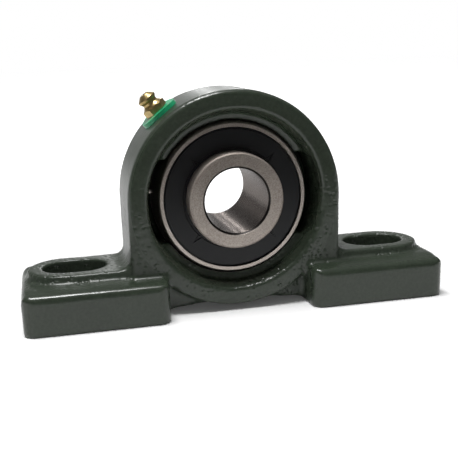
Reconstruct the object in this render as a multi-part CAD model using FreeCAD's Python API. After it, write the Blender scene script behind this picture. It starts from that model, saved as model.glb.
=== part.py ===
import FreeCAD, Part
import math
import os

# Pillow block bearing: a cast iron foot housing with a spherical seat, and a self-aligning
# ball insert that two set screws lock to its shaft.
# Lengths are in millimetres. X runs along the feet, Y along the shaft and Z up.
# The origin is on the base plane, under the middle of the seat.
# The front faces -Y: the loading slots and the short end of the inner ring are there.

V = FreeCAD.Vector

# Bore and ball set, from the shaft outwards
bore_radius = 9.525        # 3/4 inch shaft
inner_wall = 3.216         # inner ring under the balls
outer_wall = 2.741         # outer ring over the balls, out to the spherical face
ball_count = 8
ball_radius = 3.969        # 5/16 inch balls
groove_conformity = 0.52   # raceway radius as a share of the ball diameter
inner_groove_depth = 1.26
outer_groove_depth = 1.56
outer_ring_width = 16.0
front_overhang = 4.7       # short end of the inner ring beyond the outer ring
back_overhang = 10.3       # long end, which carries the set screws
bore_chamfer = 0.6
ring_edge = 0.35           # broken edges of the rings

# Seals
seal_mouth_inset = 2.6     # ring's mouth inside the spherical face
seal_groove_cut = 0.4      # groove beyond that mouth
seal_mouth_depth = 1.0
seal_groove_width = 1.1
seal_rim_gap = 0.45        # rubber inside the mouth
seal_core_inset = 1.1      # steel core inside the mouth
seal_setback = 0.25        # seal face behind the ring face
seal_rubber = 0.55         # rubber over the steel core
seal_core = 0.6
seal_bore_rise = 0.8       # flat rubber face beyond the inner ring
seal_lip_step = 0.55
seal_lip_width = 0.8
seal_edge_radius = 0.25
dart_length = 3.0          # darts are arrowheads drawn by two grooves that meet in a point
dart_width = 2.2
dart_line = 0.4            # width of the grooves
dart_depth = 0.45
dart_count = 4

# Ball cage
cage_thickness = 0.7
cage_gap = 1.05            # ribbon to each ring
rivet_radius = 0.5
rivet_head_radius = 0.9
rivet_head_height = 0.35

# Set screws
screw_radius = 3.175       # 1/4 inch
screw_length = 4.8
screw_from_end = 4.8       # screw axis to the long end of the inner ring
screw_socket = 3.175       # hexagon across flats
screw_socket_depth = 2.4
screw_chamfer = 0.53
screw_cup_radius = 1.6     # hollow of the cup point
screw_retraction = 0.35    # tip clear of the bore when slack
screw_angles = (75, 195)   # 120 apart round the shaft, from +X towards +Z

# Locating pin that keeps the outer ring from creeping
pin_radius = 1.0
pin_depth = 1.75
pin_reach = 0.9
pin_angle = 174            # round the shaft, from +X towards +Z
pin_room = 0.5             # past the pin when the insert is fully tilted
align_angle = 3.0          # the insert tilts this many degrees each way in its seat

# Seat, its recesses and the loading slots
seat_width = 13.0
recess_depth = 6.0         # arch face to seat
recess_mouth_rise = 2.5    # mouth beyond the spherical seat
recess_floor_rise = 1.6
recess_edge_radius = 1.2
recess_cone_depth = 3.3
loading_slot_play = 1.3    # slot beyond the pin's tip
loading_slot_side = 4.3    # slot above and below the width of the outer ring
loading_slot_corner = 3.0

# Arch and the web under it
shaft_height = 33.3        # base plane to the shaft axis
arch_wall = 8.2            # arch over the spherical seat
arch_edge_radius = 1.4
web_width = 18.0
web_lift = 1.0             # underside of the web at the feet
web_arch_rise = 1.4        # and the rise of its middle above that

# Feet, bolt slots and the raised pads round them
base_width = 38.0          # along the shaft
foot_overlap = 10.2        # feet run this far in under the arch
foot_wall_height = 11.8    # upright wall of a foot
foot_roof_rise = 0.8       # sloped roof above that wall
foot_end_slope = 0.8       # run of the roof's slope at the ends of a foot
foot_corner_radius = 3.5
foot_edge_radius = 2.0
slot_width = 13.0
slot_length = 19.0
slot_from_arch = 6.3       # so that the slots are 95 apart
pad_margin = 4.5           # pad left round a slot
pad_rise = 2.4             # pad above the foot's roof
pad_ledge = 1.2            # flat of the roof beside the pad
pad_edge_radius = 0.7
pad_root_radius = 1.0      # hollow round under the pad
arch_flare_radius = 3.5    # hollow round between arch and pad

# Grease way and nipple
nipple_angle = 128         # round the shaft, from +X towards +Z
grease_hole_radius = 1.5
grease_pocket_depth = 1.0
grease_groove_place = 4.1  # groove round the outer ring, from the ball plane
grease_groove_width = 1.4
grease_groove_depth = 0.6
grease_duct_radius = 0.6
washer_radius = 5.9
washer_thickness = 1.2
nipple_thread_radius = 2.95
nipple_thread_length = 5.0
nipple_hexagon = 6.3       # across flats
nipple_hexagon_height = 2.1
nipple_neck_radius = 2.3
nipple_neck_height = 1.3
nipple_head_radius = 2.8
nipple_flare_height = 1.3
nipple_tip_radius = 1.4
nipple_tip_height = 1.2
nipple_lip_height = 0.4
nipple_land = 0.6          # straight part of the neck and of the head
nipple_step_height = 1.0   # seat of the spring above the nipple's lower end
check_ball_radius = 1.0
check_ball_play = 0.1      # ball to its channel
mouth_lip = 0.3            # mouth inside the ball's radius
spring_inset = 0.2         # coil inside the ball's radius
spring_wire = 0.12
spring_coils = 6

# Clearances
seat_clearance = 0.05      # housing seat to outer ring
ball_clearance = 0.04      # ball to each raceway
pocket_clearance = 0.08    # ball to cage
lip_clearance = 0.1        # seal lip to inner ring
fit_clearance = 0.03       # pins, threads and rivets in their holes
snug_clearance = 0.02      # pieces of one body that touch
overshoot = 1.0            # cutters reach this far past what they cut

# Places worked out from the sizes above: the insert
pitch_radius = bore_radius + inner_wall + ball_clearance + ball_radius
insert_radius = pitch_radius + ball_radius + ball_clearance + outer_wall
groove_radius = 2 * ball_radius * groove_conformity
outer_groove_centre = pitch_radius + ball_radius + ball_clearance - groove_radius
inner_groove_centre = pitch_radius - ball_radius - ball_clearance + groove_radius
inner_ring_radius = inner_groove_centre - groove_radius + inner_groove_depth
outer_shoulder_radius = outer_groove_centre + groove_radius - outer_groove_depth
ring_half = outer_ring_width / 2
inner_ring_front = ring_half + front_overhang
inner_ring_back = ring_half + back_overhang
seal_mouth_radius = insert_radius - seal_mouth_inset
seal_groove_radius = seal_mouth_radius + seal_groove_cut
seal_face_bore = inner_ring_radius + seal_bore_rise
seal_face = ring_half - seal_setback
seal_core_face = seal_face - seal_rubber
seal_core_radius = seal_mouth_radius - seal_core_inset
seal_lip_root = seal_face_bore + seal_lip_step
ball_angles = [360 * index / ball_count for index in range(ball_count)]
rivet_angles = [angle + 180 / ball_count for angle in ball_angles]
pin_tip = insert_radius + pin_reach
pin_swing = pin_tip * math.sin(math.radians(align_angle))
screw_place = inner_ring_back - screw_from_end
screw_tip = bore_radius + screw_retraction

# Places worked out from the sizes above: the housing
seat_radius = insert_radius + seat_clearance
seat_half = seat_width / 2
arch_half = seat_half + recess_depth
arch_radius = insert_radius + arch_wall
recess_mouth_radius = insert_radius + recess_mouth_rise
recess_floor_radius = insert_radius + recess_floor_rise
loading_slot_radius = pin_tip + loading_slot_play
loading_slot_height = outer_ring_width + 2 * loading_slot_side
loading_slot_floor = pin_radius + pin_swing + pin_room
base_half = base_width / 2
roof_height = foot_wall_height + foot_roof_rise
pad_height = roof_height + pad_rise
pad_half = slot_width / 2 + pad_margin
slot_place = arch_radius + slot_from_arch + slot_length / 2
slot_end_shift = (slot_length - slot_width) / 2
pad_end_centre = slot_place + slot_end_shift
foot_inner = arch_radius - foot_overlap
foot_outer = pad_end_centre + pad_half + pad_ledge + foot_end_slope

# Places worked out from the sizes above: the nipple, as distances from the shaft axis
nipple_base = arch_radius + washer_thickness + 2 * snug_clearance
nipple_bottom = nipple_base - nipple_thread_length
nipple_step = nipple_bottom + nipple_step_height
nipple_neck = nipple_base + nipple_hexagon_height
nipple_flare = nipple_neck + nipple_neck_height
nipple_head = nipple_flare + nipple_flare_height
nipple_tip = nipple_head + nipple_tip_height
nipple_lip = nipple_tip - nipple_lip_height
nipple_channel_radius = check_ball_radius + check_ball_play
nipple_mouth_radius = check_ball_radius - mouth_lip
spring_radius = check_ball_radius - spring_inset
check_ball_drop = math.sqrt(2) * (check_ball_radius + fit_clearance)
check_ball_centre = nipple_lip + nipple_mouth_radius - check_ball_drop


def outline(start, *steps):
    """Closed flat face. A step is an end point, or the middle and end points of an arc."""
    here = V(*start, 0)
    first = here
    edges = []
    for step in steps:
        if isinstance(step[0], tuple):
            middle = V(*step[0], 0)
            end = V(*step[1], 0)
            edges.append(Part.Arc(here, middle, end).toShape())
        else:
            end = V(*step, 0)
            edges.append(Part.LineSegment(here, end).toShape())
        here = end
    if here.distanceToPoint(first) > 1e-6:
        edges.append(Part.LineSegment(here, first).toShape())
    return Part.Face(Part.Wire(edges))


def turned(start, *steps):
    """Solid turned round the shaft axis from points given as (radius, place along Y)."""
    solid = outline(start, *steps).revolve(V(0, 0, 0), V(0, 1, 0), 360)
    solid.translate(V(0, 0, shaft_height))
    return solid


def slab(face, front, back):
    """Solid between two places along Y, from a face drawn as (x, z)."""
    upright = face.copy()
    upright.rotate(V(0, 0, 0), V(1, 0, 0), 90)
    upright.translate(V(0, front, 0))
    return upright.extrude(V(0, back - front, 0))


def turned_spoke(start, *steps):
    """Solid turned round Z from points given as (radius, distance from the shaft axis)."""
    face = outline(start, *steps)
    face.rotate(V(0, 0, 0), V(1, 0, 0), 90)
    return face.revolve(V(0, 0, 0), V(0, 0, 1), 360)


def place_spoke(shape, angle, place):
    """Move a shape from the Z axis to a radius of the shaft, at an angle from +X to +Z."""
    moved = shape.copy()
    moved.rotate(V(0, 0, 0), V(0, 1, 0), 90 - angle)
    moved.translate(V(0, place, shaft_height))
    return moved


def spoke(radius, inner, outer, angle, place):
    """Cylinder along a radius of the shaft."""
    return place_spoke(Part.makeCylinder(radius, outer - inner, V(0, 0, inner)), angle, place)


def hexagon(across_flats, bottom, top):
    """Upright hexagonal prism."""
    corner = across_flats / math.sqrt(3)
    points = []
    for index in range(7):
        angle = math.radians(60 * index)
        points.append(V(corner * math.cos(angle), corner * math.sin(angle), bottom))
    return Part.Face(Part.makePolygon(points)).extrude(V(0, 0, top - bottom))


def front_to_back(shape):
    """The same piece turned to the other side of the ball plane."""
    return shape.mirror(V(0, 0, 0), V(0, 1, 0))


def left_of(shape):
    return shape.mirror(V(0, 0, 0), V(1, 0, 0))


def round_corner(before, corner, after, radius):
    """Two outline steps that round a corner: the arc's start, then its middle and end."""
    point = V(*corner, 0)
    back = (V(*before, 0) - point).normalize()
    ahead = (V(*after, 0) - point).normalize()
    half_angle = back.getAngle(ahead) / 2
    reach = radius / math.tan(half_angle)
    inward = (back + ahead).normalize()
    start = point + back * reach
    end = point + ahead * reach
    middle = point + inward * (radius / math.sin(half_angle) - radius)
    return (start.x, start.y), ((middle.x, middle.y), (end.x, end.y))


def level_edges(shape, height):
    """Edges that lie at one height."""
    found = []
    for edge in shape.Edges:
        box = edge.BoundBox
        if abs(box.ZMin - height) < 1e-4 and abs(box.ZMax - height) < 1e-4:
            found.append(edge)
    return found


def stadium(x_low, x_high, half_width, bottom, top):
    """Upright slot shape with round ends centred on x_low and x_high."""
    face = outline(
        (x_low, -half_width),
        (x_high, -half_width),
        ((x_high + half_width, 0), (x_high, half_width)),
        (x_low, half_width),
        ((x_low - half_width, 0), (x_low, -half_width)),
    )
    face.translate(V(0, 0, bottom))
    return face.extrude(V(0, 0, top - bottom))


def hipped_outline(low, high, slope):
    """End view of a foot: upright walls, rounded eaves and a flat top between two slopes."""
    eaves_low = (low, foot_wall_height)
    eaves_high = (high, foot_wall_height)
    ridge_low = (low + slope, roof_height)
    ridge_high = (high - slope, roof_height)
    return outline(
        (low, 0),
        (high, 0),
        *round_corner((high, 0), eaves_high, ridge_high, foot_edge_radius),
        ridge_high,
        ridge_low,
        *round_corner(ridge_low, eaves_low, (low, 0), foot_edge_radius),
    )


def foot():
    """Right foot: upright walls, a hipped roof and the raised bolt pad."""
    side_slope = base_half - pad_half - pad_ledge
    lengthwise = slab(hipped_outline(foot_inner, foot_outer, foot_end_slope), -base_half, base_half)
    crosswise = hipped_outline(-base_half, base_half, side_slope)
    crosswise.rotate(V(0, 0, 0), V(1, 0, 0), 90)
    crosswise.rotate(V(0, 0, 0), V(0, 0, 1), 90)
    crosswise = crosswise.extrude(V(foot_outer + overshoot, 0, 0))
    plan = Part.makeBox(foot_outer - foot_inner, base_width, roof_height, V(foot_inner, -base_half, 0))
    upright = [edge for edge in plan.Edges if edge.BoundBox.ZLength > foot_wall_height]
    plan = plan.makeFillet(foot_corner_radius, upright)
    body = plan.common(lengthwise).common(crosswise)
    pad = stadium(foot_inner + pad_half, pad_end_centre, pad_half, foot_wall_height, pad_height)
    pad = pad.makeFillet(pad_edge_radius, level_edges(pad, pad_height))
    body = body.fuse(pad)
    root = []
    for edge in level_edges(body, roof_height):
        box = edge.BoundBox
        if abs(box.YMin) < pad_half + pad_ledge / 2 and abs(box.YMax) < pad_half + pad_ledge / 2:
            root.append(edge)
    return body.makeFillet(pad_root_radius, root)


def arch_outline():
    """Front view of the arch: round over the seat, upright sides, round boss between the feet."""
    shoulder_x = foot_inner + foot_end_slope / 2
    shoulder_z = shaft_height - math.sqrt(arch_radius ** 2 - shoulder_x ** 2)
    return outline(
        (arch_radius, shaft_height),
        ((0, shaft_height + arch_radius), (-arch_radius, shaft_height)),
        (-arch_radius, shoulder_z),
        (-shoulder_x, shoulder_z),
        ((0, shaft_height - arch_radius), (shoulder_x, shoulder_z)),
        (arch_radius, shoulder_z),
    )


def arch():
    """Arch with rounded outer edges."""
    body = slab(arch_outline(), -arch_half, arch_half)
    rims = []
    for edge in body.Edges:
        box = edge.BoundBox
        flat = box.YMax - box.YMin < 1e-4
        level = box.ZMax - box.ZMin < 1e-4
        if flat and not level:
            rims.append(edge)
    return body.makeFillet(arch_edge_radius, rims)


def arch_flare():
    """Hollow round where the right side of the arch runs out into the bolt pad."""
    reach = arch_radius + arch_flare_radius
    diagonal = arch_flare_radius * (1 - math.sqrt(0.5))
    face = outline(
        (arch_radius - overshoot, roof_height),
        (reach, roof_height),
        (reach, pad_height),
        ((arch_radius + diagonal, pad_height + diagonal),
         (arch_radius, pad_height + arch_flare_radius)),
        (arch_radius - overshoot, pad_height + arch_flare_radius),
    )
    half = pad_half - pad_edge_radius
    return slab(face, -half, half)


def web():
    """Wall between the feet under the boss, with an arched underside."""
    inside = foot_inner + foot_corner_radius
    face = outline(
        (-inside, web_lift),
        (-foot_inner, web_lift),
        ((0, web_lift + web_arch_rise), (foot_inner, web_lift)),
        (inside, web_lift),
        (inside, foot_wall_height),
        (-inside, foot_wall_height),
    )
    return slab(face, -web_width / 2, web_width / 2)


def recess():
    """Round hollow in front of the seat: rounded mouth, cone, short wall and flat floor."""
    outside = arch_half + overshoot
    edge = recess_edge_radius
    edge_middle = edge * (1 - math.sqrt(0.5))
    return turned(
        (0, -outside),
        (recess_mouth_radius + edge, -outside),
        (recess_mouth_radius + edge, -arch_half),
        ((recess_mouth_radius + edge_middle, edge_middle - arch_half),
         (recess_mouth_radius, edge - arch_half)),
        (recess_floor_radius, recess_cone_depth - arch_half),
        (recess_floor_radius, -seat_half),
        (0, -seat_half),
    )


def loading_slots():
    """The two slots at the sides of the seat, through which the insert is put in edgewise."""
    round_part = Part.makeCylinder(
        loading_slot_radius,
        arch_half + overshoot + loading_slot_floor,
        V(0, -arch_half - overshoot, shaft_height),
        V(0, 1, 0),
    )
    flats = Part.makeBox(
        2 * loading_slot_radius,
        2 * arch_half,
        loading_slot_height,
        V(-loading_slot_radius, -arch_half - overshoot, shaft_height - loading_slot_height / 2),
    )
    body = round_part.common(flats)
    corners = []
    for edge in body.Edges:
        box = edge.BoundBox
        if box.XMax - box.XMin < 1e-4 and box.ZMax - box.ZMin < 1e-4:
            corners.append(edge)
    return body.makeFillet(loading_slot_corner, corners)


def grease_way():
    """Tapped hole for the nipple, the drilling under it and the pocket in the seat."""
    tapped = spoke(
        nipple_thread_radius + fit_clearance,
        nipple_bottom - overshoot,
        arch_radius + overshoot,
        nipple_angle,
        0,
    )
    drilling = spoke(grease_hole_radius, seat_radius - overshoot, arch_radius, nipple_angle, 0)
    pocket = stadium(
        0,
        grease_groove_place,
        grease_hole_radius,
        insert_radius - overshoot,
        seat_radius + grease_pocket_depth,
    )
    pocket.rotate(V(0, 0, 0), V(0, 0, 1), 90)
    return [tapped, drilling, place_spoke(pocket, nipple_angle, 0)]


def housing():
    """Cast housing in one piece."""
    right_foot = foot()
    right_flare = arch_flare()
    casting = arch().fuse([
        right_foot,
        left_of(right_foot),
        right_flare,
        left_of(right_flare),
        web(),
    ])
    bolt_slot = stadium(
        slot_place - slot_end_shift,
        slot_place + slot_end_shift,
        slot_width / 2,
        -overshoot,
        pad_height + overshoot,
    )
    cuts = [
        Part.makeSphere(seat_radius, V(0, 0, shaft_height)),
        recess(),
        front_to_back(recess()),
        loading_slots(),
        bolt_slot,
        left_of(bolt_slot),
    ]
    return casting.cut(cuts + grease_way()).removeSplitter()


def sphere_radius_at(place):
    """Radius of the insert's spherical face at a place along the shaft."""
    return math.sqrt(insert_radius ** 2 - place ** 2)


def groove_half_width(centre, shoulder):
    """Half width of a raceway groove where it meets its shoulder."""
    return math.sqrt(groove_radius ** 2 - (shoulder - centre) ** 2)


def outer_ring():
    """Outer ring: spherical outside, deep groove, a seal groove at each end, grease ducts."""
    edge_place = ring_half - ring_edge
    mouth_end = ring_half - seal_mouth_depth
    groove_end = mouth_end - seal_groove_width
    race = groove_half_width(outer_groove_centre, outer_shoulder_radius)
    ring = turned(
        (seal_mouth_radius, -ring_half),
        (sphere_radius_at(edge_place) - ring_edge, -ring_half),
        (sphere_radius_at(edge_place), -edge_place),
        ((insert_radius, 0), (sphere_radius_at(edge_place), edge_place)),
        (sphere_radius_at(edge_place) - ring_edge, ring_half),
        (seal_mouth_radius, ring_half),
        (seal_mouth_radius, mouth_end),
        (seal_groove_radius, mouth_end),
        (seal_groove_radius, groove_end),
        (outer_shoulder_radius, groove_end),
        (outer_shoulder_radius, race),
        ((outer_groove_centre + groove_radius, 0), (outer_shoulder_radius, -race)),
        (outer_shoulder_radius, -groove_end),
        (seal_groove_radius, -groove_end),
        (seal_groove_radius, -mouth_end),
        (seal_mouth_radius, -mouth_end),
    )
    low = grease_groove_place - grease_groove_width / 2
    high = grease_groove_place + grease_groove_width / 2
    bottom = sphere_radius_at(grease_groove_place) - grease_groove_depth
    outside = insert_radius + overshoot
    cuts = [turned((bottom, low), (outside, low), (outside, high), (bottom, high))]
    for angle in (nipple_angle, nipple_angle + 180):
        cuts.append(spoke(
            grease_duct_radius,
            outer_shoulder_radius - overshoot,
            insert_radius,
            angle,
            grease_groove_place,
        ))
    pin_hole = pin_radius + fit_clearance
    cuts.append(spoke(
        pin_hole, insert_radius - pin_depth - fit_clearance, outside, pin_angle, 0
    ))
    return ring.cut(cuts)


def inner_ring():
    """Inner ring: bore, raceway and a long end with two tapped holes."""
    race = groove_half_width(inner_groove_centre, inner_ring_radius)
    ring = turned(
        (bore_radius + bore_chamfer, -inner_ring_front),
        (inner_ring_radius - ring_edge, -inner_ring_front),
        (inner_ring_radius, ring_edge - inner_ring_front),
        (inner_ring_radius, -race),
        ((inner_groove_centre - groove_radius, 0), (inner_ring_radius, race)),
        (inner_ring_radius, inner_ring_back - ring_edge),
        (inner_ring_radius - ring_edge, inner_ring_back),
        (bore_radius + bore_chamfer, inner_ring_back),
        (bore_radius, inner_ring_back - bore_chamfer),
        (bore_radius, bore_chamfer - inner_ring_front),
    )
    hole = screw_radius + fit_clearance
    holes = []
    for angle in screw_angles:
        holes.append(spoke(
            hole, bore_radius - overshoot, inner_ring_radius + overshoot, angle, screw_place
        ))
    return ring.cut(holes)


def ball(angle):
    return place_spoke(Part.makeSphere(ball_radius, V(0, 0, pitch_radius)), angle, 0)


def cage_half():
    """Rear half of the pressed cage: a flat ribbon with a round cup for each ball."""
    inner = inner_ring_radius + cage_gap
    outer = outer_shoulder_radius - cage_gap
    pocket = ball_radius + pocket_clearance
    cup = pocket + cage_thickness
    ribbon = turned((inner, 0), (outer, 0), (outer, cage_thickness), (inner, cage_thickness))
    far = cup + overshoot
    reach = turned((inner, 0), (outer, 0), (outer, far), (inner, far))
    cups = []
    pockets = []
    holes = []
    for angle in ball_angles:
        cup_ball = place_spoke(Part.makeSphere(cup, V(0, 0, pitch_radius)), angle, 0)
        cups.append(cup_ball.common(reach))
        pockets.append(place_spoke(Part.makeSphere(pocket, V(0, 0, pitch_radius)), angle, 0))
    for angle in rivet_angles:
        hole = Part.makeCylinder(
            rivet_radius + snug_clearance, 2 * cage_thickness, V(0, 0, pitch_radius), V(0, 1, 0)
        )
        holes.append(place_spoke(hole, angle, -cage_thickness / 2))
    return ribbon.fuse(cups).cut(pockets + holes)


def cage_rivets():
    """One rivet between each two balls, with a head on both sides of the cage."""
    rivets = []
    for angle in rivet_angles:
        axis = V(0, 1, 0)
        shank = Part.makeCylinder(
            rivet_radius, 2 * cage_thickness, V(0, -cage_thickness, pitch_radius), axis
        )
        heads = []
        for start in (-cage_thickness - rivet_head_height, cage_thickness):
            heads.append(Part.makeCylinder(
                rivet_head_radius, rivet_head_height, V(0, start, pitch_radius), axis
            ))
        rivets.append(place_spoke(shank.fuse(heads), angle, 0))
    return Part.makeCompound(rivets)


def front_seal_core():
    """Steel washer that stiffens the seal."""
    inner = seal_lip_root + snug_clearance
    front = -seal_core_face
    back = seal_core - seal_core_face
    return turned((inner, front), (seal_core_radius, front), (seal_core_radius, back), (inner, back))


def front_seal_lip():
    """Rubber of the seal: flat face, bead in the ring's groove, lip at the inner ring, darts."""
    rim = seal_mouth_radius - seal_rim_gap
    bead = seal_groove_radius - snug_clearance
    bead_front = ring_half - seal_mouth_depth - snug_clearance
    bead_back = bead_front - seal_groove_width + 2 * snug_clearance
    core_rim = seal_core_radius + snug_clearance
    lip_bore = inner_ring_radius + lip_clearance
    lip_front = seal_face - seal_lip_step
    lip_back = lip_front - seal_lip_width
    inner_edge = (seal_face_bore, -seal_face)
    outer_edge = (rim, -seal_face)
    rubber = turned(
        (rim, -bead_front),
        (bead, -bead_front),
        (bead, -bead_back),
        (core_rim, -bead_back),
        (core_rim, -seal_core_face),
        (seal_lip_root, -seal_core_face),
        (seal_lip_root, -lip_back),
        (lip_bore, -lip_back),
        (lip_bore, -lip_front),
        (seal_face_bore, -lip_front),
        *round_corner((seal_face_bore, -lip_front), inner_edge, outer_edge, seal_edge_radius),
        *round_corner(inner_edge, outer_edge, (rim, -bead_front), seal_edge_radius),
    )
    tip = seal_face_bore + dart_length
    half = dart_width / 2
    steepness = (tip - inner_ring_radius) / half
    arrowhead = outline((-half, inner_ring_radius), (half, inner_ring_radius), (0, tip))
    middle = outline(
        (dart_line - half, inner_ring_radius),
        (half - dart_line, inner_ring_radius),
        (0, tip - dart_line * steepness),
    )
    grooves = slab(arrowhead, -seal_face - overshoot, dart_depth - seal_face)
    grooves = grooves.cut(slab(middle, -seal_face - overshoot, dart_depth - seal_face))
    darts = []
    for index in range(dart_count):
        darts.append(place_spoke(grooves, (index + 0.5) * 360 / dart_count, 0))
    return rubber.cut(darts)


def locating_pin():
    """Pin with a slightly domed end, standing out of the outer ring into a loading slot."""
    length = pin_depth + pin_reach
    pin = Part.makeCylinder(pin_radius, length, V(0, 0, insert_radius - pin_depth))
    dome = Part.makeSphere(length, V(0, 0, pin_tip - length))
    return place_spoke(pin.common(dome), pin_angle, 0)


def set_screw(angle):
    """Grub screw with a cup point and a hexagon socket, drawn slack."""
    top = screw_tip + screw_length
    body = turned_spoke(
        (0, screw_tip + screw_cup_radius / 2),
        (screw_cup_radius, screw_tip),
        (screw_radius - 2 * screw_chamfer, screw_tip),
        (screw_radius, screw_tip + 2 * screw_chamfer),
        (screw_radius, top - screw_chamfer),
        (screw_radius - screw_chamfer, top),
        (0, top),
    )
    socket = hexagon(screw_socket, top - screw_socket_depth, top + overshoot)
    return place_spoke(body.cut(socket), angle, screw_place)


def nipple_washer():
    """Plastic washer, bent to the round of the arch."""
    inside = arch_radius + snug_clearance
    half = washer_radius + overshoot
    shell = turned(
        (inside, -half),
        (inside + washer_thickness, -half),
        (inside + washer_thickness, half),
        (inside, half),
    )
    disc = spoke(washer_radius, nipple_bottom, arch_radius + half, nipple_angle, 0)
    hole_radius = nipple_thread_radius + fit_clearance
    hole = spoke(hole_radius, nipple_bottom, arch_radius + half, nipple_angle, 0)
    return shell.common(disc).cut(hole)


def nipple_body():
    """Brass grease nipple: thread, hexagon, tapered neck and coupler head, drilled through."""
    solid = turned_spoke(
        (0, nipple_bottom),
        (nipple_thread_radius, nipple_bottom),
        (nipple_thread_radius, nipple_neck),
        (nipple_neck_radius, nipple_flare - nipple_land),
        (nipple_neck_radius, nipple_flare),
        (nipple_head_radius, nipple_head - nipple_land),
        (nipple_head_radius, nipple_head),
        (nipple_tip_radius, nipple_tip),
        (0, nipple_tip),
    )
    corner = nipple_hexagon / math.sqrt(3)
    chamfer = corner - nipple_hexagon / 2
    nut_form = turned_spoke(
        (0, nipple_base),
        (corner, nipple_base),
        (corner, nipple_neck - chamfer),
        (nipple_hexagon / 2 - chamfer / 2, nipple_neck),
        (0, nipple_neck),
    )
    nut = hexagon(nipple_hexagon, nipple_base, nipple_neck + overshoot).common(nut_form)
    seat_end = nipple_lip - (nipple_channel_radius - nipple_mouth_radius)
    channel = turned_spoke(
        (0, nipple_bottom - overshoot),
        (nipple_mouth_radius, nipple_bottom - overshoot),
        (nipple_mouth_radius, nipple_step),
        (nipple_channel_radius, nipple_step),
        (nipple_channel_radius, seat_end),
        (nipple_mouth_radius, nipple_lip),
        (nipple_mouth_radius, nipple_tip + overshoot),
        (0, nipple_tip + overshoot),
    )
    return place_spoke(solid.fuse(nut).cut(channel), nipple_angle, 0)


def nipple_ball():
    """Check ball that closes the nipple's mouth."""
    centre = V(0, 0, check_ball_centre)
    return place_spoke(Part.makeSphere(check_ball_radius, centre), nipple_angle, 0)


def nipple_spring():
    """Coil spring under the check ball."""
    bottom = nipple_step + spring_wire + snug_clearance
    contact = check_ball_radius + spring_wire + fit_clearance
    height = check_ball_centre - math.sqrt(contact ** 2 - spring_radius ** 2) - bottom
    helix = Part.makeHelix(height / spring_coils, height, spring_radius)
    section = Part.Wire(Part.makeCircle(spring_wire, V(spring_radius, 0, 0), V(0, 1, 0)))
    coil = Part.Wire(helix).makePipeShell([section], True, True)
    coil.translate(V(0, 0, bottom))
    return place_spoke(coil, nipple_angle, 0)


def all_nodes():
    """Every piece under the name of its file."""
    nodes = {
        "housing": housing(),
        "outer_ring": outer_ring(),
        "inner_ring": inner_ring(),
        "cage_front": front_to_back(cage_half()),
        "cage_rear": cage_half(),
        "cage_rivets": cage_rivets(),
        "front_seal_core": front_seal_core(),
        "front_seal_lip": front_seal_lip(),
        "rear_seal_core": front_to_back(front_seal_core()),
        "rear_seal_lip": front_to_back(front_seal_lip()),
        "locating_pin": locating_pin(),
        "nipple_washer": nipple_washer(),
        "nipple_body": nipple_body(),
        "nipple_ball": nipple_ball(),
        "nipple_spring": nipple_spring(),
    }
    for number, angle in enumerate(screw_angles, 1):
        nodes[f"set_screw_{number}"] = set_screw(angle)
    for number, angle in enumerate(ball_angles, 1):
        nodes[f"ball_{number}"] = ball(angle)
    return nodes


os.makedirs("parts", exist_ok=True)
for name, shape in all_nodes().items():
    shape.exportStep(f"parts/{name}.step")
    print(name, shape.isValid(), len(shape.Solids), round(shape.Volume, 3))
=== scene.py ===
import math

import bmesh
import bpy
from mathutils import Matrix, Vector, noise


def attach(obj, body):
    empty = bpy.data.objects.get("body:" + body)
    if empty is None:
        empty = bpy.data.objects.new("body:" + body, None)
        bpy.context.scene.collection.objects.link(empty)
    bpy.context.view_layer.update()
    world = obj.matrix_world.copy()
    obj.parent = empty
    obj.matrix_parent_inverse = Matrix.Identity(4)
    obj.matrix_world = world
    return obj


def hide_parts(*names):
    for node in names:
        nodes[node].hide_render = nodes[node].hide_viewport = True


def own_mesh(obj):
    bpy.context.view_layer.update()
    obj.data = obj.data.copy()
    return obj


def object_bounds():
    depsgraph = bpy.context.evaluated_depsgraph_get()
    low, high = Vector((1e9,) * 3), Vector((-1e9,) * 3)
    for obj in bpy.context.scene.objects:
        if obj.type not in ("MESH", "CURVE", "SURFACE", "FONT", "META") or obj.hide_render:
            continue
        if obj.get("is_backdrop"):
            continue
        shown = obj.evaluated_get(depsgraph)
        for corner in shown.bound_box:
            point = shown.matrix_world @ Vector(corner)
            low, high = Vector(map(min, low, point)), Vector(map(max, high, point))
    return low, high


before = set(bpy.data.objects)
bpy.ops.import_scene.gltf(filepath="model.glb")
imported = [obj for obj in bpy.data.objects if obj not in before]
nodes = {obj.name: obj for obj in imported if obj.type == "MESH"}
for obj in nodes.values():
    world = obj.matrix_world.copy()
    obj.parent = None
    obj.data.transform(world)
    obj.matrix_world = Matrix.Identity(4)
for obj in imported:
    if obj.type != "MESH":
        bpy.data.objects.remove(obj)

# Pillow block bearing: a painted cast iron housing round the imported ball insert.
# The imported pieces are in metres; sizes here are in millimetres and go through MM.

cad_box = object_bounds()
MM = 0.001
merge_distance = 0.001

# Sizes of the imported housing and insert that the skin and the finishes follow
shaft_height = 33.3
bore_radius = 9.525
bore_edge = 10.125         # outer edge of the bore's chamfer
ring_radius = 14.0
insert_radius = 23.5
arch_radius = 31.7
arch_half = 12.5           # middle of the arch to its face
recess_radius = 27.2       # inside this the corners are crisp
slot_half_width = 6.5
slot_end_shift = 3.0
slot_place = 47.5
slot_rim = 0.8             # how far outside a bolt slot its crisp corner reaches
foot_inner = 22.0          # about where a foot comes out from under the arch
roof_height = 12.6
washer_angle = 128
washer_radius = 5.9

# Rounding of the feet's ends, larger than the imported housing's
foot_end = 63.5
foot_back = 19.0
foot_end_radius = 2.6
foot_back_radius = 8.0
foot_round_from = 6.0      # height at which the rounding of the top edge starts to tell
foot_round_to = 12.0

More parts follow.
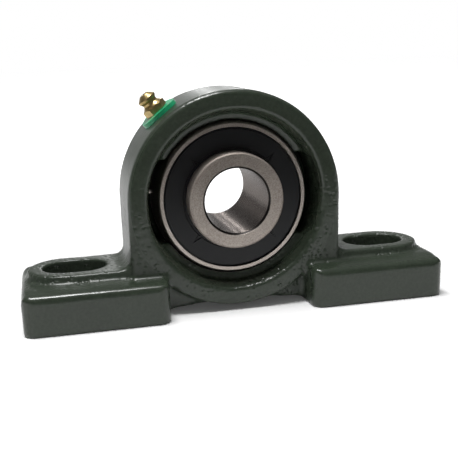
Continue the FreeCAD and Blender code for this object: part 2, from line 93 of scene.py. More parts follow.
# Skin of the casting
skin_voxel = 0.62
skin_passes = 2            # smoothing of cast corners
crisp_passes = 1           # smoothing of all corners
smooth_factor = 0.5
swell_size = 9.0           # slow unevenness of the moulded surface
swell_height = 0.08
lump_size = 2.2            # sand marks under the paint
lump_height = 0.05
fine_size = 0.6            # smaller marks, as shares of the larger ones
fine_height = 0.7
swell_shift = (7, 0, 0)    # shifts that keep the three patterns apart
lump_shift = (0, 3, 0)
fine_shift = (0, 0, 5)

# How sandy the skin is: the share it has everywhere, and the share that comes in patches
patch_size = 14.0
foot_sand = (0.12, 0.15)
pad_sand = (0.3, 0.3)
arch_sand = (0.25, 0.5)
low_arch_sand = 0.45       # more where the arch is low
recess_sand = 0.1
low_recess_sand = 0.7
low_below = 6.0            # above the shaft, where low starts
low_reach = 20.0
flare_reach = 6.0          # beyond the arch, where its flares end

# Where the unevenness fades out
base_fade = 1.5
seat_fade = 1.0
washer_fade = 2.0

# Bored seat, made again as a clean band inside the skin
seat_room = 0.07           # band to the insert's sphere
seat_skin_room = 0.16      # skin to the insert's sphere
seat_band_front = 2.95
seat_band_back = 6.4
seat_band_wall = 0.9
seat_band_steps = 160

# Patterns of the enamel
gloss_patch = 16.0         # glossier and duller stretches of paint
sandy_patch = 7.0
dimple_size = 1.5          # dimples from the moulding sand, as wide as the photograph shows them
dimple_depth = 0.19
dimple_bend_size = 2.0     # unevenness of their outlines
dimple_bend = 0.9
grit_size = 0.9            # real grit is half as wide and wouldn't show
grit_depth = 0.03
recess_grit_depth = 0.14
peel_size = 0.5            # orange peel
peel_depth = 0.010
sandy_below = 24.0         # heights between which sandy turns to smooth
smooth_above = 42.0
face_rim = (0.7, 2.0)      # beyond the arch's face, where smooth feet begin
shaded_seat_rim = (0.3, 0.5)      # outside the insert's sphere, where the seat's painted shade turns to paint
crown_rim = (0.8, 0.2)     # inside the arch's outer surface
recess_rim = (0.6, 0.4)    # inside and outside the recess's edge

# Patterns of the other finishes
stain_size = 9.0
line_share = 0.35          # how much the turned lines and the stains tell beside the grain
stain_share = 0.3
sheen_spread = 0.08
wall_rim = (0.02, 0.08)    # outside the bore, where its wall turns to chamfer
chamfer_rim = 0.08
edge_rim = (0.6, 0.4)      # inside the ring's outer edge
bloom_size = 7.0
rubber_grain = 0.5         # a real mould's grain is a tenth of this and wouldn't show
rubber_grain_depth = 0.012
tarnish_size = 2.5
tool_mark_size = 0.35      # drawn coarser than real tool marks, so that they show
tool_mark_depth = 0.01
cloud_size = 3.0
cloud_depth = 0.03

# Camera, in millimetres, degrees and pixels of the photograph
picture_side = 458
camera_place = (-53.16, -230.38, 77.16)
camera_yaw = -12.31
camera_pitch = 15.92
camera_roll = -1.94
camera_focus = 785.74
camera_middle = (220.56, 268.36)
sensor_width = 36
nearest_seen = 10.0

# Paper under the object and dark table in front of it
floor_half = 3000.0
paper_near = 0.05          # glow of the paper by the object and far from it
paper_far = 0.8
paper_fade = (70.0, 350.0)
paper_mirrored = 0.75      # share of the glow that paint and steel mirror
table_half = 500.0
table_edge = 130.0
table_rise = 1.0

# Lamps
lamp_aim = (0, 0, 30.0)
softbox_place = (-90.0, -60.0, 700.0)
softbox_size = (320.0, 120.0)
softbox_power = 5.0
strip_azimuths = (7.0, 15.0)   # narrow lamps that draw streaks in the bore
strip_rise = 0.42
strip_distance = 1500.0
strip_size = (10.0, 100.0)
strip_power = 1.1

# Studio: levels of light, and where they lie, as the share of a direction that points back or up
studio_front = 0.10
studio_back = 0.13
studio_turn = (-0.5, 0.5)
studio_top = 0.15
ceiling_rise = (0.3, 0.9)
backdrop = 1.2
backdrop_foot = 0.05       # share of its light that is left at its foot
backdrop_sides = (0.6, 0.85)
backdrop_low = (0.07, 0.15)
backdrop_high = (0.15, 0.23)
window = 0.65
window_way = (0.0924, 0.9592, 0.2672)
window_fade = (0.9914, 0.999)  # cosines of the angles where it starts and is full


def linear(hex_colour):
    """Linear colour from an sRGB hex value."""
    channels = []
    for start in (0, 2, 4):
        value = int(hex_colour[start:start + 2], 16) / 255
        channels.append(value / 12.92 if value <= 0.04045 else ((value + 0.055) / 1.055) ** 2.4)
    return (*channels, 1.0)


def per(size):
    """Texture scale at which a pattern repeats about every so many millimetres."""
    return 1 / (size * MM)


def share(value):
    """Value held between nothing and the whole."""
    return max(0, min(1, value))


def add(tree, kind, inputs=None, **settings):
    """New node with its settings, and its inputs set or linked."""
    node = tree.nodes.new(kind)
    for name, value in settings.items():
        setattr(node, name, value)
    for key, value in (inputs or {}).items():
        if isinstance(value, bpy.types.NodeSocket):
            tree.links.new(value, node.inputs[key])
        else:
            node.inputs[key].default_value = value
    return node


def new_finish(name):
    """Material with its node tree and shader, and the coordinates of the piece."""
    material = bpy.data.materials.new(name)
    material.use_nodes = True
    tree = material.node_tree
    place = add(tree, "ShaderNodeTexCoord").outputs["Object"]
    return material, tree, tree.nodes["Principled BSDF"], place


def round_the_shaft(tree, place):
    """Place seen from the middle of the seat, and its distance from the shaft axis."""
    centred = add(tree, "ShaderNodeMapping", {
        "Vector": place, "Location": (0, 0, -shaft_height * MM)}).outputs[0]
    across = add(tree, "ShaderNodeVectorMath", {0: centred, 1: (1, 0, 1)}, operation="MULTIPLY")
    radius = add(tree, "ShaderNodeVectorMath", {0: across.outputs[0]}, operation="LENGTH")
    return centred, radius.outputs["Value"]


def cast_iron_enamel():
    """Dipped enamel over a sand casting: dark green, satin, with sand dimples and orange peel.

    The bored seat is bare, dull iron, coloured near black as painted shade between insert and housing, and
    the arch's outer surface is duller than its face.
    """
    material, tree, shader, place = new_finish("cast_iron_enamel")
    centred, radius = round_the_shaft(tree, place)
    rough, on_arch = sandy_parts(tree, place)
    grit = add(tree, "ShaderNodeTexNoise", {
        "Vector": place, "Scale": per(grit_size), "Detail": 2.0}).outputs[0]
    patches = add(tree, "ShaderNodeTexNoise", {
        "Vector": place, "Scale": per(gloss_patch), "Detail": 2.0}).outputs[0]
    tint = add(tree, "ShaderNodeMix", {
        0: patches, 6: linear("2b3329"), 7: linear("363f33")}, data_type="RGBA")
    dust = add(tree, "ShaderNodeMapRange", {
        "Value": grit, "From Min": 0.35, "From Max": 0.65, "To Min": 0.86, "To Max": 1.06})
    paint = add(tree, "ShaderNodeMix", {
        0: 1.0, 6: tint.outputs[2], 7: dust.outputs[0]}, data_type="RGBA", blend_type="MULTIPLY")
    reach = add(tree, "ShaderNodeVectorMath", {0: centred}, operation="LENGTH")
    # Painted shade: the bored seat between the insert and the housing is coloured near black.
    bored = add(tree, "ShaderNodeMapRange", {
        "Value": reach.outputs["Value"], "From Min": (insert_radius + shaded_seat_rim[0]) * MM,
        "From Max": (insert_radius + shaded_seat_rim[1]) * MM, "To Min": 1.0, "To Max": 0.0}).outputs[0]
    colour = add(tree, "ShaderNodeMix", {
        0: bored, 6: paint.outputs[2], 7: linear("24211e")}, data_type="RGBA")

    gloss = add(tree, "ShaderNodeMapRange", {"Value": patches, "To Min": 0.17, "To Max": 0.30})
    dulled = add(tree, "ShaderNodeMath", {0: bored, 1: 0.5, 2: gloss.outputs[0]}, operation="MULTIPLY_ADD")
    crown = add(tree, "ShaderNodeMapRange", {
        "Value": radius, "From Min": (arch_radius - crown_rim[0]) * MM,
        "From Max": (arch_radius - crown_rim[1]) * MM, "To Min": 0.0, "To Max": 0.12})
    on_crown = add(tree, "ShaderNodeMath", {0: crown.outputs[0], 1: on_arch}, operation="MULTIPLY")
    sheen = add(tree, "ShaderNodeMath", {0: on_crown.outputs[0], 1: dulled.outputs[0]}, operation="ADD")

    tree.links.new(colour.outputs[2], shader.inputs["Base Color"])
    tree.links.new(sheen.outputs[0], shader.inputs["Roughness"])
    tree.links.new(casting_relief(tree, place, radius, rough, on_arch, grit), shader.inputs["Normal"])
    shader.inputs["IOR"].default_value = 1.5
    return material


def sandy_parts(tree, place):
    """How sandy the casting is, most low on the arch, and where it is arch and not a smooth foot."""
    way = add(tree, "ShaderNodeSeparateXYZ", {0: place})
    low = add(tree, "ShaderNodeMapRange", {
        "Value": way.outputs["Z"], "From Min": sandy_below * MM, "From Max": smooth_above * MM,
        "To Min": 1.0, "To Max": 0.3})
    depth = add(tree, "ShaderNodeMath", {0: way.outputs["Y"]}, operation="ABSOLUTE")
    on_arch = add(tree, "ShaderNodeMapRange", {
        "Value": depth.outputs[0], "From Min": (arch_half + face_rim[0]) * MM,
        "From Max": (arch_half + face_rim[1]) * MM, "To Min": 1.0, "To Max": 0.10}).outputs[0]
    rough = add(tree, "ShaderNodeMath", {0: low.outputs[0], 1: on_arch}, operation="MULTIPLY")
    return rough.outputs[0], on_arch


def casting_relief(tree, place, radius, rough, on_arch, grit):
    """Bumps of the painted casting: sand dimples, grit that is coarser in the recess, orange peel."""
    warp = add(tree, "ShaderNodeTexNoise", {
        "Vector": place, "Scale": per(dimple_bend_size), "Detail": 1.0})
    shift = add(tree, "ShaderNodeVectorMath", {
        0: warp.outputs["Color"], "Scale": dimple_bend * MM}, operation="SCALE")
    bent = add(tree, "ShaderNodeVectorMath", {0: place, 1: shift.outputs[0]}, operation="ADD")
    sand = add(tree, "ShaderNodeTexVoronoi", {"Vector": bent.outputs[0], "Scale": per(dimple_size)})
    dimples = add(tree, "ShaderNodeMapRange", {
        "Value": sand.outputs["Distance"], "From Max": 0.52}, interpolation_type="SMOOTHSTEP")
    sandy = add(tree, "ShaderNodeTexNoise", {"Vector": place, "Scale": per(sandy_patch), "Detail": 1.0})
    sandier = add(tree, "ShaderNodeMapRange", {
        "Value": sandy.outputs[0], "From Min": 0.42, "From Max": 0.58, "To Min": 0.25, "To Max": 1.0})
    dimpled = add(tree, "ShaderNodeMath", {0: rough, 1: sandier.outputs[0]}, operation="MULTIPLY")
    dimple_bump = add(tree, "ShaderNodeBump", {
        "Strength": dimpled.outputs[0], "Distance": dimple_depth * MM, "Height": dimples.outputs[0]})
    grit_bump = add(tree, "ShaderNodeBump", {
        "Strength": on_arch, "Distance": grit_depth * MM, "Height": grit, "Normal": dimple_bump.outputs[0]})
    in_recess = add(tree, "ShaderNodeMapRange", {
        "Value": radius, "From Min": (recess_radius - recess_rim[0]) * MM,
        "From Max": (recess_radius + recess_rim[1]) * MM, "To Min": 1.0, "To Max": 0.0})
    coarse = add(tree, "ShaderNodeMath", {0: in_recess.outputs[0], 1: rough}, operation="MULTIPLY")
    recess_bump = add(tree, "ShaderNodeBump", {
        "Strength": coarse.outputs[0], "Distance": recess_grit_depth * MM, "Height": grit,
        "Normal": grit_bump.outputs[0]})
    peel = add(tree, "ShaderNodeTexNoise", {"Vector": place, "Scale": per(peel_size), "Detail": 1.0})
    peel_bump = add(tree, "ShaderNodeBump", {
        "Strength": 1.0, "Distance": peel_depth * MM, "Height": peel.outputs[0],
        "Normal": recess_bump.outputs[0]})
    return peel_bump.outputs[0]


def steel(name, dark, light, roughness, grain, lines, bored=False):
    """Bare steel turned or ground round the shaft: fine lines round it and a grainy sheen.

    The grain and the lines are given as width and depth. Real ones are under 0.1 mm wide and wouldn't
    show, so they are drawn wider.
    """
    material, tree, shader, place = new_finish(name)
    centred, radius = round_the_shaft(tree, place)
    along = add(tree, "ShaderNodeSeparateXYZ", {0: centred})
    travel = add(tree, "ShaderNodeMath", {0: radius, 1: along.outputs["Y"]}, operation="ADD")
    turned = add(tree, "ShaderNodeTexNoise", {
        "W": travel.outputs[0], "Scale": per(lines[0]), "Detail": 2.0}, noise_dimensions="1D").outputs[0]
    speckle = add(tree, "ShaderNodeTexNoise", {
        "Vector": place, "Scale": per(grain[0]), "Detail": 2.0}).outputs[0]
    stain = add(tree, "ShaderNodeTexNoise", {"Vector": place, "Scale": per(stain_size), "Detail": 1.0})
    marks = add(tree, "ShaderNodeMath", {0: turned, 1: line_share, 2: speckle}, operation="MULTIPLY_ADD")
    mixed = add(tree, "ShaderNodeMath", {
        0: stain.outputs[0], 1: stain_share, 2: marks.outputs[0]}, operation="MULTIPLY_ADD")
    spread = add(tree, "ShaderNodeMapRange", {"Value": mixed.outputs[0], "From Min": 0.62, "From Max": 1.03})
    colour = add(tree, "ShaderNodeMix", {
        0: spread.outputs[0], 6: linear(dark), 7: linear(light)}, data_type="RGBA").outputs[2]
    sheen = add(tree, "ShaderNodeMapRange", {
        "Value": speckle, "To Min": roughness - sheen_spread, "To Max": roughness + sheen_spread}).outputs[0]
    line_strength = 1.0
    # The inner ring gets painted shade in its bore and on the bore's chamfer.
    if bored:
        colour, sheen, line_strength = ring_walls(tree, radius, colour, sheen)
        shader.inputs["Specular Tint"].default_value = linear("d2d0cf")
    grain_bump = add(tree, "ShaderNodeBump", {
        "Strength": 1.0, "Distance": grain[1] * MM, "Height": speckle})
    line_bump = add(tree, "ShaderNodeBump", {
        "Strength": line_strength, "Distance": lines[1] * MM, "Height": turned,
        "Normal": grain_bump.outputs[0]})
    tree.links.new(colour, shader.inputs["Base Color"])
    tree.links.new(sheen, shader.inputs["Roughness"])
    tree.links.new(line_bump.outputs[0], shader.inputs["Normal"])
    shader.inputs["Metallic"].default_value = 1.0
    return material


def ring_walls(tree, radius, colour, sheen):
    """Colour, sheen and strength of the lines on the inner ring.

    Its bore is smoother than the face, with the strongest lines, and its wall is painted dim as painted
    shade inside the bore. Its chamfer is painted near black as painted shade, and its outer edge is rougher.
    """
    wall = {"Value": radius, "From Min": (bore_radius + wall_rim[0]) * MM,
            "From Max": (bore_radius + wall_rim[1]) * MM, "To Min": 1.0}
    line_strength = add(tree, "ShaderNodeMapRange", {**wall, "To Max": 0.25}).outputs[0]
    on_wall = add(tree, "ShaderNodeMapRange", {**wall, "To Max": 0.0}).outputs[0]
    inside = add(tree, "ShaderNodeMapRange", {
        "Value": radius, "From Min": (bore_edge - chamfer_rim) * MM, "From Max": bore_edge * MM,
        "To Min": 1.0, "To Max": 0.0})
    # Painted shade inside the bore: the wall's colour is multiplied dim.
    painted_bore_shade = add(tree, "ShaderNodeMix", {
        0: 1.0, 6: colour, 7: linear("858180")}, data_type="RGBA", blend_type="MULTIPLY")
    # Painted shade on the bore's chamfer: it is coloured near black.
    painted_chamfer_shade = add(tree, "ShaderNodeMix", {
        0: inside.outputs[0], 6: colour, 7: linear("2b2928")}, data_type="RGBA")
    colour = add(tree, "ShaderNodeMix", {
        0: on_wall, 6: painted_chamfer_shade.outputs[2], 7: painted_bore_shade.outputs[2]}, data_type="RGBA")
    smoother = add(tree, "ShaderNodeMath", {0: on_wall, 1: -0.09, 2: sheen}, operation="MULTIPLY_ADD")
    at_edge = add(tree, "ShaderNodeMapRange", {
        "Value": radius, "From Min": (ring_radius - edge_rim[0]) * MM,
        "From Max": (ring_radius - edge_rim[1]) * MM, "To Min": 0.0, "To Max": 0.3})
    sheen = add(tree, "ShaderNodeMath", {0: at_edge.outputs[0], 1: smoother.outputs[0]}, operation="ADD")
    return colour.outputs[2], sheen.outputs[0], line_strength


def nitrile_rubber():
    """Moulded nitrile rubber: near black, satin, with the faint grain of its mould."""
    material, tree, shader, place = new_finish("nitrile_rubber")
    bloom = add(tree, "ShaderNodeTexNoise", {"Vector": place, "Scale": per(bloom_size), "Detail": 3.0})
    grain = add(tree, "ShaderNodeTexNoise", {"Vector": place, "Scale": per(rubber_grain), "Detail": 2.0})
    tint = add(tree, "ShaderNodeMix", {
        0: bloom.outputs[0], 6: linear("0b0c0e"), 7: linear("121317")}, data_type="RGBA")
    gloss = add(tree, "ShaderNodeMapRange", {"Value": bloom.outputs[0], "To Min": 0.26, "To Max": 0.38})
    bump = add(tree, "ShaderNodeBump", {
        "Strength": 1.0, "Distance": rubber_grain_depth * MM, "Height": grain.outputs[0]})
    tree.links.new(tint.outputs[2], shader.inputs["Base Color"])
    tree.links.new(gloss.outputs[0], shader.inputs["Roughness"])
    tree.links.new(bump.outputs[0], shader.inputs["Normal"])
    shader.inputs["IOR"].default_value = 1.45
    shader.inputs["Specular IOR Level"].default_value = 0.4
    return material


def turned_brass():
    """Turned brass: yellow, bright, with faint tool marks and a little tarnish in patches."""
    material, tree, shader, place = new_finish("turned_brass")
    tarnish = add(tree, "ShaderNodeTexNoise", {"Vector": place, "Scale": per(tarnish_size), "Detail": 3.0})
    marks = add(tree, "ShaderNodeTexNoise", {"Vector": place, "Scale": per(tool_mark_size), "Detail": 1.0})
    tint = add(tree, "ShaderNodeMix", {
        0: tarnish.outputs[0], 6: linear("7d6736"), 7: linear("d6c08c")}, data_type="RGBA")
    gloss = add(tree, "ShaderNodeMapRange", {"Value": tarnish.outputs[0], "To Min": 0.44, "To Max": 0.26})
    bump = add(tree, "ShaderNodeBump", {
        "Strength": 1.0, "Distance": tool_mark_depth * MM, "Height": marks.outputs[0]})
    tree.links.new(tint.outputs[2], shader.inputs["Base Color"])
    tree.links.new(gloss.outputs[0], shader.inputs["Roughness"])
    tree.links.new(bump.outputs[0], shader.inputs["Normal"])
    shader.inputs["Metallic"].default_value = 1.0
    return material


def moulded_polyethylene():
    """Moulded polyethylene: clear green, waxy, and lit through a little at its edges."""
    material, tree, shader, place = new_finish("moulded_polyethylene")
    cloud = add(tree, "ShaderNodeTexNoise", {"Vector": place, "Scale": per(cloud_size), "Detail": 2.0})
    tint = add(tree, "ShaderNodeMix", {
        0: cloud.outputs[0], 6: linear("128a5a"), 7: linear("27b880")}, data_type="RGBA")
    bump = add(tree, "ShaderNodeBump", {
        "Strength": 1.0, "Distance": cloud_depth * MM, "Height": cloud.outputs[0]})
    tree.links.new(tint.outputs[2], shader.inputs["Base Color"])
    tree.links.new(bump.outputs[0], shader.inputs["Normal"])
    shader.inputs["Roughness"].default_value = 0.3
    shader.inputs["IOR"].default_value = 1.51
    shader.inputs["Subsurface Weight"].default_value = 0.2
    shader.inputs["Subsurface Radius"].default_value = (0.4, 1.0, 0.7)
    shader.inputs["Subsurface Scale"].default_value = 0.8 * MM
    return material


def merged_copy(node_name):
    """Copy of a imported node's mesh with its loose triangles joined."""
    mesh = nodes[node_name].data.copy()
    shape = bmesh.new()
    shape.from_mesh(mesh)
    bmesh.ops.remove_doubles(shape, verts=shape.verts, dist=merge_distance * MM)
    shape.to_mesh(mesh)
    shape.free()
    return mesh


def new_piece(name, mesh):
    """Object at the origin that shows a mesh."""
    piece = bpy.data.objects.new(name, mesh)
    bpy.context.scene.collection.objects.link(piece)
    return piece


def casting_piece():
    """Housing with the rounded corners and uneven skin of a sand casting under paint."""
    piece = new_piece("housing_casting", merged_copy("housing"))
    skin = piece.modifiers.new("skin", "REMESH")
    skin.mode = "VOXEL"
    skin.voxel_size = skin_voxel * MM
    bpy.context.view_layer.update()
    graph = bpy.context.evaluated_depsgraph_get()
    remeshed = bpy.data.meshes.new_from_object(piece.evaluated_get(graph))
    piece.modifiers.remove(skin)

    shape = bmesh.new()
    shape.from_mesh(remeshed)
    cast = [vert for vert in shape.verts if not is_crisp(vert.co)]
    for verts, passes in ((shape.verts, crisp_passes), (cast, skin_passes)):
        for _ in range(passes):
            bmesh.ops.smooth_vert(shape, verts=verts, factor=smooth_factor,
                                  use_axis_x=True, use_axis_y=True, use_axis_z=True)
    for vert in shape.verts:
        round_foot_end(vert)
    shape.normal_update()
    for vert in shape.verts:
        vert.co += vert.normal * skin_rise(vert.co) * hold_back(vert.co) * MM
    for vert in shape.verts:
        clear_insert(vert)
        vert.co.z = max(vert.co.z, 0)
    add_seat_band(shape)
    for face in shape.faces:
        face.smooth = True
    shape.to_mesh(remeshed)
    shape.free()
    piece.data = remeshed
    piece.data.materials.clear()
    piece.data.materials.append(cast_iron_enamel())
    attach(piece, "housing")
    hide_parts("housing")


def from_shaft(point):
    """Distance from the shaft axis in millimetres."""
    return math.hypot(point.x / MM, point.z / MM - shaft_height)


def from_bolt_slot(point):
    """Distance from the wall of the nearer bolt slot in millimetres, below zero inside it."""
    along = max(0, abs(abs(point.x / MM) - slot_place) - slot_end_shift)
    return math.hypot(along, point.y / MM) - slot_half_width


def is_crisp(point):
    """Inside of the arch and of the bolt slots, whose corners stay sharp."""
    return from_shaft(point) < recess_radius or from_bolt_slot(point) < slot_rim


def round_foot_end(vert):
    """Round the top edge of a foot's end, and its corner at the back.

    The corner is taken as square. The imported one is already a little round, which leaves an upright
    crease about 1 mm deep down its middle.
    """
    over = abs(vert.co.x / MM) - (foot_end - foot_end_radius)
    if over > 0:
        fall = foot_end_radius - math.sqrt(max(0, foot_end_radius ** 2 - over ** 2))
        rise = share((vert.co.z / MM - foot_round_from) / (foot_round_to - foot_round_from))
        vert.co.z -= fall * rise * rise * (3 - 2 * rise) * MM
    out = Vector((abs(vert.co.x / MM) - (foot_end - foot_back_radius),
                  vert.co.y / MM - (foot_back - foot_back_radius)))
    if min(out) > 0:
        drawn_in = (1 - max(out) / out.length) * MM
        vert.co.x -= math.copysign(out.x, vert.co.x) * drawn_in
        vert.co.y -= out.y * drawn_in


def sand_at(point):
    """How sandy the casting is at a place, from smooth feet to a coarse recess and flares."""
    patch = 0.5 + noise.noise(point / (patch_size * MM))
    height = point.z / MM
    across = abs(point.x / MM)
    if height < roof_height and across > foot_inner:
        return foot_sand[0] + foot_sand[1] * patch
    low = share((shaft_height - height + low_below) / low_reach)
    if from_shaft(point) < recess_radius:
        return recess_sand + low_recess_sand * low
    if across > arch_radius + flare_reach:
        return pad_sand[0] + pad_sand[1] * patch
    return arch_sand[0] + arch_sand[1] * patch + low_arch_sand * low


def skin_rise(point):
    """How far the paint stands out or falls in at a place, in millimetres."""
    swell = noise.noise(point / (swell_size * MM) + Vector(swell_shift))
    lump = noise.noise(point / (lump_size * MM) + Vector(lump_shift))
    fine = noise.noise(point / (lump_size * fine_size * MM) + Vector(fine_shift))
    return swell * swell_height + sand_at(point) * (lump + fine_height * fine) * lump_height


def nipple_way():
    """Direction from the shaft out through the grease nipple."""
    angle = math.radians(washer_angle)
    return Vector((math.cos(angle), 0, math.sin(angle)))


def hold_back(point):
    """Less unevenness on the base, in the seat and under the nipple's washer."""
    from_base = min(1, point.z / (base_fade * MM))
    from_seat = share((from_shaft(point) - insert_radius) / seat_fade)
    washer = (Vector((0, 0, shaft_height)) + nipple_way() * arch_radius) * MM
    from_washer = share(((point - washer).length / MM - washer_radius) / washer_fade)
    return from_base * from_seat * from_washer


def clear_insert(vert):
    """Keep the skin off the insert's sphere, so that the insert can tilt."""
    room = (insert_radius + seat_skin_room) * MM
    centre = Vector((0, 0, shaft_height * MM))
    offset = vert.co - centre
    if offset.length < room:
        vert.co = centre + offset.normalized() * room


def add_seat_band(shape):
    """Clean band of the bored seat behind the loading slots."""
    inner = insert_radius + seat_room
    places = [seat_band_front, (seat_band_front + seat_band_back) / 2, seat_band_back]
    section = [(math.sqrt(inner ** 2 - place ** 2), place) for place in places]
    section.append((inner + seat_band_wall, seat_band_back))
    section.append((inner + seat_band_wall, seat_band_front))
    corners = [shape.verts.new((radius * MM, place * MM, shaft_height * MM)) for radius, place in section]
    start = shape.faces.new(corners)
    edges = list(start.edges)
    bmesh.ops.spin(shape, geom=corners + edges, cent=(0, 0, shaft_height * MM), axis=(0, 1, 0),
                   angle=math.tau, steps=seat_band_steps, use_merge=True, use_duplicate=False)
    shape.faces.remove(start)


def check_spring():
    """The nipple's spring, fixed to the housing; the real one closes up as the check ball is pressed in."""
    mesh = merged_copy("nipple_spring")
    piece = new_piece("nipple_coil", mesh)
    mesh.materials.clear()
    mesh.materials.append(steel("drawn_spring_wire", "747472", "9a9a97", roughness=0.3,
                                grain=(0.3, 0.003), lines=(0.2, 0.001)))
    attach(piece, "housing")
    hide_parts("nipple_spring")
    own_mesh(piece)


def give(names, material):
    """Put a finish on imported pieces."""
    for name in names:
        nodes[name].material_slots[0].material = material


def stage_sheet(name, half, centre):
    """Level sheet that isn't part of the object."""
    shape = bmesh.new()
    bmesh.ops.create_grid(shape, x_segments=1, y_segments=1, size=half * MM)
    bmesh.ops.translate(shape, verts=shape.verts, vec=Vector(centre) * MM)
    mesh = bpy.data.meshes.new(name)
    shape.to_mesh(mesh)
    shape.free()
    piece = new_piece(name, mesh)
    piece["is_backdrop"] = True
    return piece


def bare_tree(owner):
    """Empty node tree of a new material or world."""
    owner.use_nodes = True
    owner.node_tree.nodes.clear()
    return owner.node_tree


def floor():
    """White paper that runs out into the background and keeps the object's shadow."""
    piece = stage_sheet("floor", floor_half, (0, 0, 0))
    material = bpy.data.materials.new("white_paper")
    tree = bare_tree(material)
    ray = add(tree, "ShaderNodeLightPath")
    seen = add(tree, "ShaderNodeMath", {
        0: ray.outputs["Is Glossy Ray"], 1: paper_mirrored, 2: ray.outputs["Is Camera Ray"]},
        operation="MULTIPLY_ADD")
    place = add(tree, "ShaderNodeTexCoord").outputs["Object"]
    away = add(tree, "ShaderNodeVectorMath", {0: place}, operation="LENGTH")
    fade = add(tree, "ShaderNodeMapRange", {
        "Value": away.outputs["Value"], "From Min": paper_fade[0] * MM, "From Max": paper_fade[1] * MM,
        "To Min": paper_near, "To Max": paper_far})
    lift = add(tree, "ShaderNodeMath", {0: seen.outputs[0], 1: fade.outputs[0]}, operation="MULTIPLY")
    paper = add(tree, "ShaderNodeBsdfDiffuse", {"Color": linear("f4f4f4")})
    glow = add(tree, "ShaderNodeEmission", {"Color": (1, 1, 1, 1), "Strength": lift.outputs[0]})
    both = add(tree, "ShaderNodeAddShader", {0: paper.outputs[0], 1: glow.outputs[0]})
    add(tree, "ShaderNodeOutputMaterial", {"Surface": both.outputs[0]})
    piece.data.materials.append(material)


def table():
    """Dark table in front of the paper, out of the picture, that the paint and steel mirror."""
    piece = stage_sheet("table", table_half, (0, -table_half - table_edge, table_rise))
    piece.visible_camera = False
    piece.visible_shadow = False
    piece.visible_diffuse = False
    material = bpy.data.materials.new("dark_table")
    tree = bare_tree(material)
    top = add(tree, "ShaderNodeBsdfDiffuse", {"Color": linear("4a4642")})
    add(tree, "ShaderNodeOutputMaterial", {"Surface": top.outputs[0]})
    piece.data.materials.append(material)


def surroundings():
    """Dim studio with a low white backdrop and a window behind, which the pads and the bore mirror."""
    world = bpy.data.worlds.new("studio")
    bpy.context.scene.world = world
    tree = bare_tree(world)
    direction = add(tree, "ShaderNodeTexCoord").outputs["Generated"]
    way = add(tree, "ShaderNodeSeparateXYZ", {0: direction})
    walls = add(tree, "ShaderNodeMapRange", {
        "Value": way.outputs["Y"], "From Min": studio_turn[0], "From Max": studio_turn[1],
        "To Min": studio_front, "To Max": studio_back})
    ceiling = add(tree, "ShaderNodeMapRange", {
        "Value": way.outputs["Z"], "From Min": ceiling_rise[0], "From Max": ceiling_rise[1],
        "To Min": 0.0, "To Max": studio_top})
    behind = add(tree, "ShaderNodeMapRange", {
        "Value": way.outputs["Y"], "From Min": backdrop_sides[0], "From Max": backdrop_sides[1]})
    low_end = add(tree, "ShaderNodeMapRange", {
        "Value": way.outputs["Z"], "From Min": backdrop_low[0], "From Max": backdrop_low[1],
        "To Min": backdrop_foot * backdrop, "To Max": backdrop})
    high_end = add(tree, "ShaderNodeMapRange", {
        "Value": way.outputs["Z"], "From Min": backdrop_high[0], "From Max": backdrop_high[1],
        "To Min": 1.0, "To Max": 0.0})
    lit = add(tree, "ShaderNodeMath", {0: low_end.outputs[0], 1: high_end.outputs[0]}, operation="MULTIPLY")
    sheet = add(tree, "ShaderNodeMath", {0: behind.outputs[0], 1: lit.outputs[0]}, operation="MULTIPLY")
    nearness = add(tree, "ShaderNodeVectorMath", {0: direction, 1: window_way}, operation="DOT_PRODUCT")
    pane = add(tree, "ShaderNodeMapRange", {
        "Value": nearness.outputs["Value"], "From Min": window_fade[0], "From Max": window_fade[1],
        "To Min": 0.0, "To Max": window})
    level = walls
    for part in (ceiling, sheet, pane):
        level = add(tree, "ShaderNodeMath", {0: level.outputs[0], 1: part.outputs[0]}, operation="ADD")
    room = add(tree, "ShaderNodeBackground", {"Color": (1, 1, 1, 1), "Strength": level.outputs[0]})
    white = add(tree, "ShaderNodeBackground", {"Color": (1, 1, 1, 1), "Strength": 1.0})
    ray = add(tree, "ShaderNodeLightPath")
    both = add(tree, "ShaderNodeMixShader", {
        0: ray.outputs["Is Camera Ray"], 1: room.outputs[0], 2: white.outputs[0]})
    add(tree, "ShaderNodeOutputWorld", {"Surface": both.outputs[0]})


def lamp(name, place, size, power):
    """Soft box at a place, turned towards the object."""
    light = bpy.data.lights.new(name, "AREA")
    light.shape = "RECTANGLE"
    light.size = size[0] * MM
    light.size_y = size[1] * MM
    light.energy = power
    piece = new_piece(name, light)
    piece.visible_camera = False
    piece.location = Vector(place) * MM
    piece.rotation_euler = (Vector(lamp_aim) - Vector(place)).to_track_quat("-Z", "Y").to_euler()


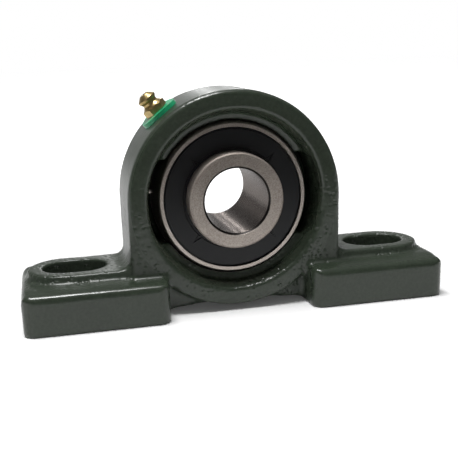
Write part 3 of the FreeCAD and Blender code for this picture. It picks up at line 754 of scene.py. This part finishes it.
def photograph():
    """Camera where the photograph was taken from, found from edges of the part."""
    camera = new_piece("camera", bpy.data.cameras.new("camera"))
    turn = Matrix.Rotation(math.radians(camera_yaw), 4, "Z")
    tip = Matrix.Rotation(math.radians(90 - camera_pitch), 4, "X")
    roll = Matrix.Rotation(math.radians(camera_roll), 4, "Z")
    camera.matrix_world = Matrix.Translation(Vector(camera_place) * MM) @ turn @ tip @ roll
    camera.data.sensor_width = sensor_width
    camera.data.lens = camera_focus / picture_side * sensor_width
    camera.data.shift_x = (picture_side / 2 - camera_middle[0]) / picture_side
    camera.data.shift_y = (camera_middle[1] - picture_side / 2) / picture_side
    camera.data.clip_start = nearest_seen * MM
    bpy.context.scene.camera = camera


photograph()
surroundings()
floor()
table()
lamp("softbox", softbox_place, softbox_size, softbox_power)
for azimuth in strip_azimuths:
    strip_turn = math.radians(azimuth)
    strip_way = Vector((math.sin(strip_turn), math.cos(strip_turn), strip_rise))
    lamp("strip", strip_way * strip_distance, strip_size, strip_power)

casting_piece()
check_spring()
give(["inner_ring"], steel("turned_bearing_steel", "938a83", "bdb4ac", roughness=0.36,
                           grain=(0.28, 0.012), lines=(0.22, 0.024), bored=True))
give(["outer_ring"], steel("ground_bearing_steel", "a0978f", "c2bab3", roughness=0.34,
                           grain=(0.28, 0.008), lines=(0.22, 0.003)))
give(["locating_pin"], steel("bright_drawn_steel", "847f79", "b0aba5", roughness=0.30,
                             grain=(0.4, 0.004), lines=(0.2, 0.001)))
give(["set_screw_1", "set_screw_2"], steel("black_oxide_steel", "17171a", "2c2c30", roughness=0.42,
                                           grain=(0.4, 0.008), lines=(0.3, 0.004)))
give([f"ball_{number}" for number in range(1, 9)] + ["nipple_ball"],
     steel("lapped_chrome_steel", "b9babb", "d8d9da", roughness=0.12,
           grain=(2.0, 0.0005), lines=(0.3, 0.0002)))
give(["cage_front", "cage_rear", "cage_rivets", "front_seal_core", "rear_seal_core"],
     steel("pressed_mild_steel", "7f7f7c", "a4a4a1", roughness=0.38, grain=(0.8, 0.01), lines=(0.5, 0.003)))
give(["front_seal_lip", "rear_seal_lip"], nitrile_rubber())
give(["nipple_washer"], moulded_polyethylene())
give(["nipple_body"], turned_brass())

bpy.context.scene.view_settings.view_transform = "Standard"

boxes = {"cad": cad_box, "visual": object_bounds()}
for name, box in boxes.items():
    boxes[name] = [[round(float(value), 6) for value in corner] for corner in box]
